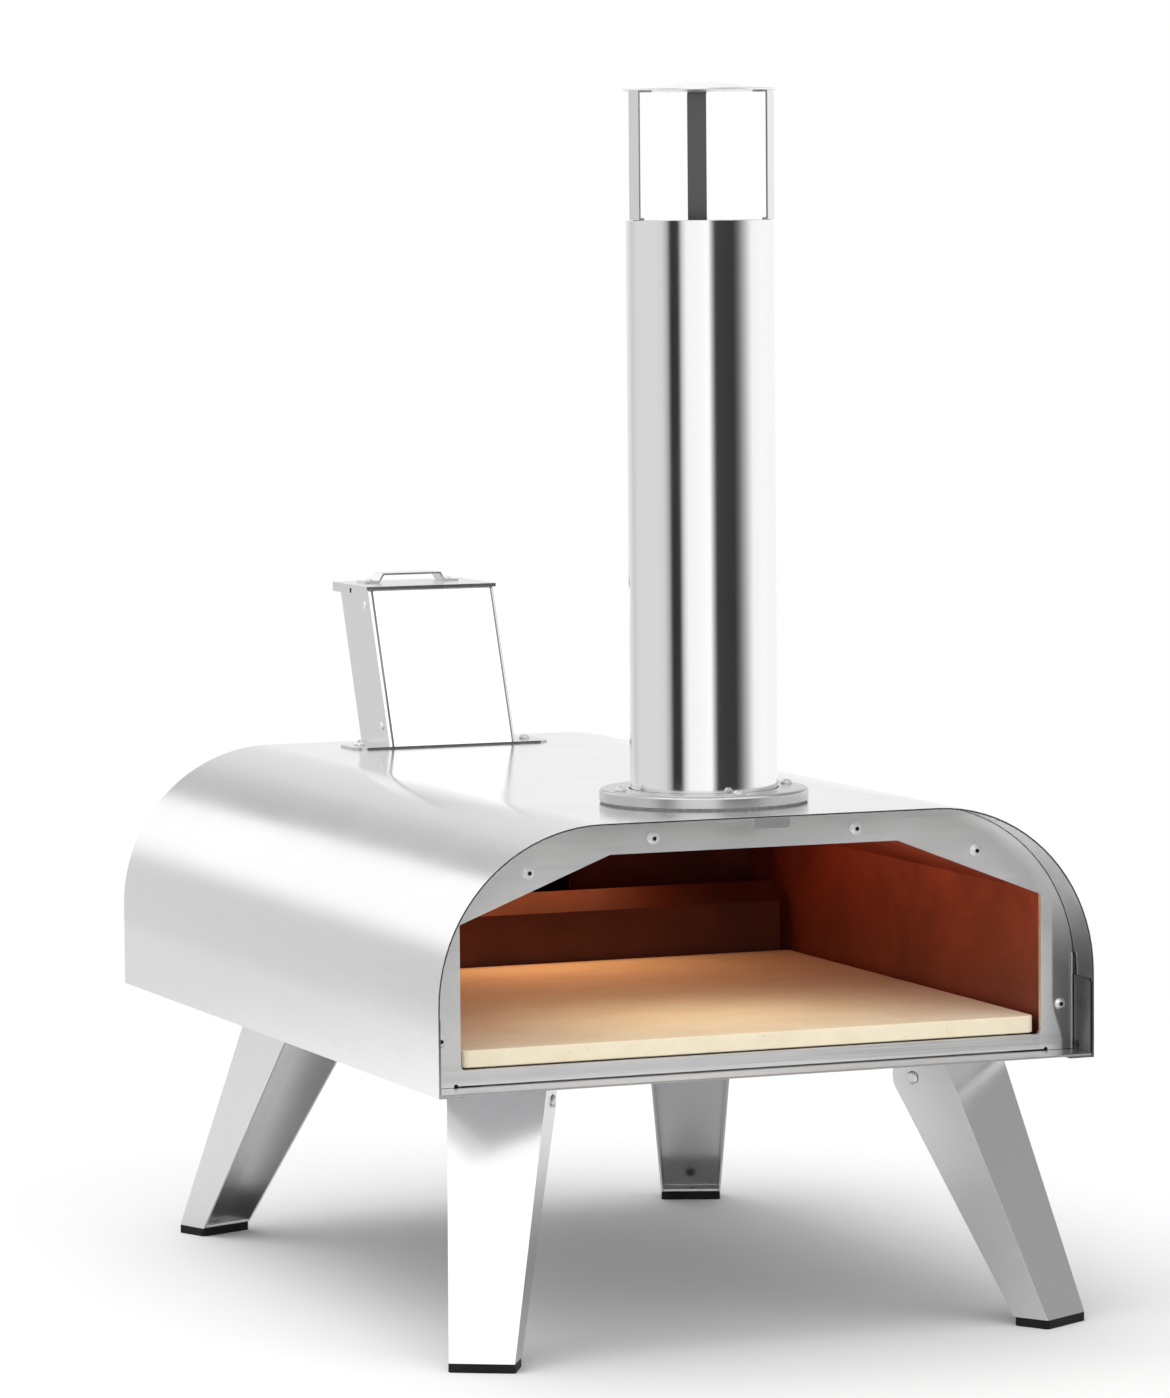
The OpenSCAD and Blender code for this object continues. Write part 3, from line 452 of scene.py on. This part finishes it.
def smooth(mesh):
    mesh.polygons.foreach_set("use_smooth", [True] * len(mesh.polygons))


def weigh_normals(obj):
    """Shades flat faces flat and spends the turn of the normals on the narrow faces between them."""
    normals = obj.modifiers.new("normals", "WEIGHTED_NORMAL")
    normals.keep_sharp = False
    normals.weight = FACE_WEIGHT


def soften(obj, width):
    """Joins the mesh's split points, rounds its sharp edges and shades it smoothly."""
    for name in STORED_NORMALS:
        if name in obj.data.attributes:
            obj.data.attributes.remove(obj.data.attributes[name])
    smooth(obj.data)
    weld = obj.modifiers.new("weld", "WELD")
    weld.merge_threshold = WELD_REACH
    flat = obj.modifiers.new("flat", "DECIMATE")
    flat.decimate_type = "DISSOLVE"
    flat.angle_limit = math.radians(FLAT_ANGLE)
    bevel = obj.modifiers.new("bevel", "BEVEL")
    bevel.limit_method = "ANGLE"
    bevel.angle_limit = math.radians(SHARP_ANGLE)
    bevel.width = width
    bevel.segments = BEVEL_SEGMENTS
    bevel.use_clamp_overlap = True
    weigh_normals(obj)


for node_name, node in nodes.items():
    node.data.materials.clear()
    node.data.materials.append(FINISH[node_name])
    soften(node, EDGE.get(node_name, PLAIN_EDGE))

# ---------------------------------------------------------------- screw sockets

# Each screw node's own axis: 1 for Y and 2 for Z
SOCKETED = {"front_panel_screws": 1, "rear_panel_screws": 1, "tray_handle_screws": 1, "hopper_plate_screws": 2,
            "chimney_flange_screws": 2}
SOCKET_REACH = 1.22 * MM


def islands(mesh):
    """The mesh's separate solids, as lists of faces. Points in one place count as one."""
    home = {}
    parent = list(range(len(mesh.vertices)))

    def top(i):
        while parent[i] != i:
            parent[i] = parent[parent[i]]
            i = parent[i]
        return i

    for i, vertex in enumerate(mesh.vertices):
        micrometres = tuple(round(c * 1e6) for c in vertex.co)
        parent[i] = home.setdefault(micrometres, i)
    for face in mesh.polygons:
        first = top(face.vertices[0])
        for i in face.vertices[1:]:
            parent[top(i)] = first
    groups = {}
    for face in mesh.polygons:
        groups.setdefault(top(face.vertices[0]), []).append(face)
    return list(groups.values())


def darken_sockets(mesh, axis):
    """Paints shade into each screw's socket: the faces round the screw's middle get the dark material."""
    mesh.materials.append(socket_shade)
    for faces in islands(mesh):
        points = [mesh.vertices[i].co for face in faces for i in face.vertices]
        middle = [(min(p[k] for p in points) + max(p[k] for p in points)) / 2 for k in range(3)]
        for face in faces:
            offset = [face.center[k] - middle[k] for k in range(3) if k != axis]
            if math.hypot(*offset) < SOCKET_REACH:
                face.material_index = 1


for node_name, axis in SOCKETED.items():
    darken_sockets(nodes[node_name].data, axis)

# ---------------------------------------------------------------- pieces made here


def new_object(name, data):
    obj = bpy.data.objects.new(name, data)
    bpy.context.scene.collection.objects.link(obj)
    return obj


def object_from(bm, name, *materials):
    mesh = bpy.data.meshes.new(name)
    bm.to_mesh(mesh)
    bm.free()
    for material in materials:
        mesh.materials.append(material)
    return new_object(name, mesh)


def join_rings(bm, a, b):
    """The faces between two rings of as many points."""
    return [bm.faces.new((a[i - 1], a[i], b[i], b[i - 1])) for i in range(len(a))]


# ---------------------------------------------------------------- hopper body

HOPPER_DEPTH = 54 * MM
HOPPER_WALL = 1.0 * MM
FOLD_R = 1.0 * MM
INNER_FOLD_R = 0.5 * MM
BACK_FOLD_STEPS = 6
FRONT_FOLD_STEPS = 8
# The seams beside the front folds: how far in from the left and right sides, how wide and how deep
SEAMS_AT = (2.0 * MM, 1.1 * MM)
SEAM_WIDTH = 1.3 * MM
SEAM_DEPTH = 0.7 * MM
SEAM_MATCH = 0.01 * MM


def hopper_outline(half_w, y0, y1, radius, seams_at):
    """The hopper's level section, from its back left corner round the front."""

    def half(seam_at):
        points = []
        for step in range(BACK_FOLD_STEPS + 1):
            a = math.pi / 2 * step / BACK_FOLD_STEPS
            points.append((-half_w + radius * (1 - math.sin(a)), y1 - radius * (1 - math.cos(a))))
        for step in range(FRONT_FOLD_STEPS + 1):
            a = math.pi / 2 * step / FRONT_FOLD_STEPS
            points.append((-half_w + radius * (1 - math.cos(a)), y0 + radius * (1 - math.sin(a))))
        if seam_at:
            start = -half_w + seam_at
            points += [(start, y0), (start + SEAM_WIDTH / 2, y0 + SEAM_DEPTH), (start + SEAM_WIDTH, y0)]
        return points

    left, right = seams_at
    return half(left) + [(-x, y) for x, y in reversed(half(right))]


def build_hopper():
    """The hopper's leaning square tube, with folded corners and two open seams in its front."""
    low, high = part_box("hopper_body")
    half_w = high.x
    back = low.y + HOPPER_DEPTH
    lean = high.y - back
    bm = bmesh.new()

    def rings(outline):
        found = []
        for z in (low.z, (low.z + high.z) / 2, high.z):
            shift = lean * (z - low.z) / (high.z - low.z)
            found.append([bm.verts.new((x, y + shift, z)) for x, y in outline])
        return found

    outer = rings(hopper_outline(half_w, low.y, back, FOLD_R, SEAMS_AT))
    inner = rings(hopper_outline(half_w - HOPPER_WALL, low.y + HOPPER_WALL, back - HOPPER_WALL, INNER_FOLD_R,
                                 (None, None)))
    for a, b in zip(outer, outer[1:]):
        front = min(v.co.y for v in a)
        for i, face in enumerate(join_rings(bm, a, b)):
            # Faces down the seams get the dark steel, painted shade in the grooves
            # A seam's two slanting sides have their middles half way down it
            behind = (a[i - 1].co.y + a[i].co.y) / 2 - front
            if abs(behind - SEAM_DEPTH / 2) < SEAM_MATCH and abs(a[i - 1].co.x) < half_w - FOLD_R:
                face.material_index = 1
    for a, b in zip(inner, inner[1:]):
        join_rings(bm, b, a)
    for rim in ((outer[-1], inner[-1]), (outer[0], inner[0])):
        edges = [bm.edges.get((loop[i - 1], loop[i])) for loop in rim for i in range(len(loop))]
        bmesh.ops.triangle_fill(bm, edges=edges, use_beauty=True, use_dissolve=False)
    bmesh.ops.recalc_face_normals(bm, faces=bm.faces)
    obj = object_from(bm, "hopper_sheet", hopper_steel, seam_shade_steel)
    smooth(obj.data)
    weigh_normals(obj)
    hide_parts("hopper_body")
    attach(obj, "oven")


build_hopper()

# ---------------------------------------------------------------- ears in the front recess

# Depths are measured in from the shell's outside, and heights up from its lower edge
EAR_EDGE = 0.12 * MM
EAR_FACE = 1.05 * MM
EAR_T = 0.8 * MM
EAR_FRONT_GAP = 1.4 * MM
EAR_BACK_GAP = 0.3 * MM
EAR_LOW, EAR_HIGH = 2.3 * MM, 45 * MM
EAR_CORNER = 2 * MM
LIP_T = 0.9 * MM
LIP_HIGH = 58 * MM
LIP_NEAR, LIP_FAR = 1.2 * MM, 2.0 * MM
EAR_RIVET_R = 2.2 * MM
EAR_RIVET_H = 0.9 * MM
EAR_RIVET_BACK = 5 * MM
EAR_RIVET_UP = 3.4 * MM
RIVET_SIDES = 16
RIVET_LEVELS = 5


def prism(bm, outline, x0, x1, material):
    """A plate with an outline in Y and Z, from x0 to x1."""
    a = [bm.verts.new((x0, y, z)) for y, z in outline]
    b = [bm.verts.new((x1, y, z)) for y, z in outline]
    for face in [bm.faces.new(a), bm.faces.new(b)] + join_rings(bm, a, b):
        face.material_index = material


def rivet(bm, centre, side, material):
    """A low domed head standing off a wall along X. side is the direction of its top."""
    rings = []
    for level in range(RIVET_LEVELS):
        a = math.pi / 2 * level / RIVET_LEVELS
        x = centre[0] + side * EAR_RIVET_H * math.sin(a)
        radius = EAR_RIVET_R * math.cos(a)
        turns = [2 * math.pi * k / RIVET_SIDES for k in range(RIVET_SIDES)]
        rings.append([bm.verts.new((x, centre[1] + radius * math.cos(t), centre[2] + radius * math.sin(t)))
                      for t in turns])
    faces = [bm.faces.new(rings[0]), bm.faces.new(rings[-1])]
    for low_ring, high_ring in zip(rings, rings[1:]):
        faces += join_rings(bm, low_ring, high_ring)
    for face in faces:
        face.material_index = material


def build_ears():
    """The pan's two upturned ears, riveted to the shell inside the front recess."""
    shell_low, shell_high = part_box("outer_shell")
    wall = shell_high.x - EAR_FACE
    y0, y1 = shell_low.y + EAR_FRONT_GAP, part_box("front_panel")[0].y - EAR_BACK_GAP
    z0, z1 = shell_low.z + EAR_LOW, shell_low.z + EAR_HIGH
    lip_y, lip_z1 = y1 - LIP_T, shell_low.z + LIP_HIGH
    plate = [(y0, z0), (lip_y, z0), (lip_y, z1), (y0 + EAR_CORNER, z1), (y0, z1 - EAR_CORNER)]
    lip = [(lip_y, z0), (y1, z0), (y1, lip_z1), (lip_y, lip_z1)]
    bm = bmesh.new()
    for side in (-1, 1):
        prism(bm, plate, side * wall, side * (wall - EAR_T), 0)
        prism(bm, lip, side * (wall - LIP_NEAR), side * (wall - LIP_FAR), 1)
        rivet(bm, (side * (wall - EAR_T), y1 - EAR_RIVET_BACK, z0 + EAR_RIVET_UP), -side, 2)
    bmesh.ops.recalc_face_normals(bm, faces=bm.faces)
    # The ears and their rivets are near-black, painted shade of the recess
    obj = object_from(bm, "recess_ears", ear_shade_steel, fitting_steel, socket_shade)
    soften(obj, EAR_EDGE)
    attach(obj, "oven")


build_ears()

# ---------------------------------------------------------------- camera

LENS = 160.14
SENSOR = 36.0
CAMERA_PLACE = Vector((-1.3761, -3.4689, 0.6404))
VIEW = Vector((0.3689, 0.9261, -0.0790)).normalized()
UP = Vector((0.03717, 0.07021, 0.99684))

camera = new_object("camera", bpy.data.cameras.new("camera"))
camera.data.lens = LENS
camera.data.sensor_width = SENSOR
right = VIEW.cross(UP).normalized()
camera.matrix_world = (Matrix.Translation(CAMERA_PLACE)
                       @ Matrix((right, right.cross(VIEW), -VIEW)).transposed().to_4x4())
bpy.context.scene.camera = camera

# ---------------------------------------------------------------- studio

# The studio's brightness at eye level and above it, at turns to the right of the front
HORIZON = [(-180, 0.92), (-165, 0.80), (-156, 0.70), (-140, 0.82), (-100, 0.84), (-84, 0.78), (-75, 0.45),
           (-70, 0.03), (-57, 0.03), (-51, 0.75), (-44, 1.12), (-22, 1.16), (-10, 1.25), (-6, 0.6), (0, 0.05),
           (30, 0.04), (38, 0.16), (50, 0.55), (64, 1.1), (85, 1.16), (110, 1.12), (158, 1.0), (180, 0.92)]
ABOVE = [(-180, 0.58), (-174.6, 0.60), (-173.8, 1.24), (-160, 1.22), (-145, 1.0), (-110, 0.85), (-85, 1.1),
         (-60, 1.3), (40, 1.3), (60, 0.8), (75, 0.42), (110, 0.42), (140, 0.75), (160, 0.86), (170, 0.80),
         (176, 0.66), (180, 0.58)]
# The turns between which the front lies, with soft ends
FRONT_LEFT, FRONT_RIGHT = (-100, -75), (60, 40)
# The heights over which each part gives way to the next: eye level, above it, the softbox and the ceiling
ABOVE_FROM, SOFTBOX_FROM, CEILING_FROM = (4, 11), (20, 28), (38, 62)
FRONT_IN_STEEL = grey(1.12, 0.0)
SOFTBOX = grey(1.7, 0.0)
# The ceiling is a plain tone where steel mirrors it, and lights the rest with a strong soft lamp round KEY_LIGHT
CEILING_IN_STEEL = grey(0.72, 0.0)
CEILING = grey(1.0, 0.0)
LAMP = grey(4.1, 0.0)
LAMP_SPREAD = (0.62, 0.95)
KEY_LIGHT = Vector((-0.46, 0.36, 0.84)).normalized()
WHITE = grey(1.0, 0.0)
DEGREES = 180 / math.pi


def build_world():
    """A studio seen in reflections as a function of direction, and plain white to the camera."""
    world = bpy.data.worlds.new("studio")
    world.use_nodes = True
    bpy.context.scene.world = world
    s = Shader(world.node_tree)
    rays = s.add("ShaderNodeLightPath").outputs
    direction = s.add("ShaderNodeTexCoord").outputs["Generated"]
    x, y, z = s.split(direction)
    turn = s.times(s.math("ARCTAN2", x, s.times(y, -1.0)), DEGREES)
    height = s.times(s.math("ARCSINE", z), DEGREES)

    def round_about(tones):
        return s.ramp(s.remap(turn, -180, 180, smooth=False), [((t + 180) / 360, tone) for t, tone in tones])

    front = s.times(s.remap(turn, *FRONT_LEFT), s.remap(turn, *FRONT_RIGHT))
    above = s.mix(s.times(front, rays["Is Glossy Ray"]), round_about(ABOVE), FRONT_IN_STEEL)
    sky = s.mix(s.remap(height, *ABOVE_FROM), round_about(HORIZON), above)
    sky = s.mix(s.times(front, s.remap(height, *SOFTBOX_FROM)), sky, SOFTBOX)
    lamp = s.remap(s.vector_math("DOT_PRODUCT", direction, KEY_LIGHT), *LAMP_SPREAD)
    ceiling = s.mix(rays["Is Glossy Ray"], s.mix(lamp, CEILING, LAMP), CEILING_IN_STEEL)
    sky = s.mix(s.remap(height, *CEILING_FROM), sky, ceiling)
    lit = s.add("ShaderNodeBackground")
    s.put(lit.inputs["Color"], sky)
    backdrop = s.add("ShaderNodeBackground")
    s.put(backdrop.inputs["Color"], WHITE)
    s.end(s.choose(rays["Is Camera Ray"], lit.outputs[0], backdrop.outputs[0]), "ShaderNodeOutputWorld")


FLOOR_RADIUS = 1.6
FLOOR_SIDES = 128
FLOOR_FADE = (FLOOR_RADIUS * 0.45, FLOOR_RADIUS * 0.97)
FLOOR_TONE = grey(0.66, 0.0)


def build_floor():
    """A pale disc that fades out into the white backdrop."""
    bm = bmesh.new()
    bmesh.ops.create_circle(bm, cap_ends=True, radius=FLOOR_RADIUS, segments=FLOOR_SIDES)
    material, s = new_material("floor_white")
    diffuse = s.add("ShaderNodeBsdfDiffuse")
    s.put(diffuse.inputs["Color"], FLOOR_TONE)
    clear = s.add("ShaderNodeBsdfTransparent")
    fade = s.remap(s.vector_math("LENGTH", s.place()), *FLOOR_FADE)
    s.end(s.choose(fade, diffuse.outputs[0], clear.outputs[0]))
    object_from(bm, "floor", material)


def area_light(name, place, target, size, energy, colour):
    light = bpy.data.lights.new(name, "AREA")
    light.shape = "RECTANGLE"
    light.size, light.size_y = size
    light.energy = energy
    light.color = colour
    obj = new_object(name, light)
    obj.location = place
    obj.rotation_euler = (Vector(target) - Vector(place)).to_track_quat("-Z", "Y").to_euler()


build_world()
build_floor()

# The fire's glow: it comes forward over the deflector and falls on the stone, walls and roof.
fire_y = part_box("inner_back_wall")[0].y
area_light("fire_glow", (0.0, fire_y - 60 * MM, 260 * MM), (0.0, fire_y - 150 * MM, 170 * MM),
           (160 * MM, 50 * MM), 0.105, (1.0, 0.50, 0.23))
# The flames' tips under the roof, which light the stone's front half.
stone_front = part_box("pizza_stone")[0].y
area_light("flame_tips", (0.0, stone_front + 80 * MM, 275 * MM), (0.0, stone_front + 70 * MM, 170 * MM),
           (150 * MM, 60 * MM), 0.07, (1.0, 0.80, 0.50))

bpy.context.scene.view_settings.view_transform = "Standard"
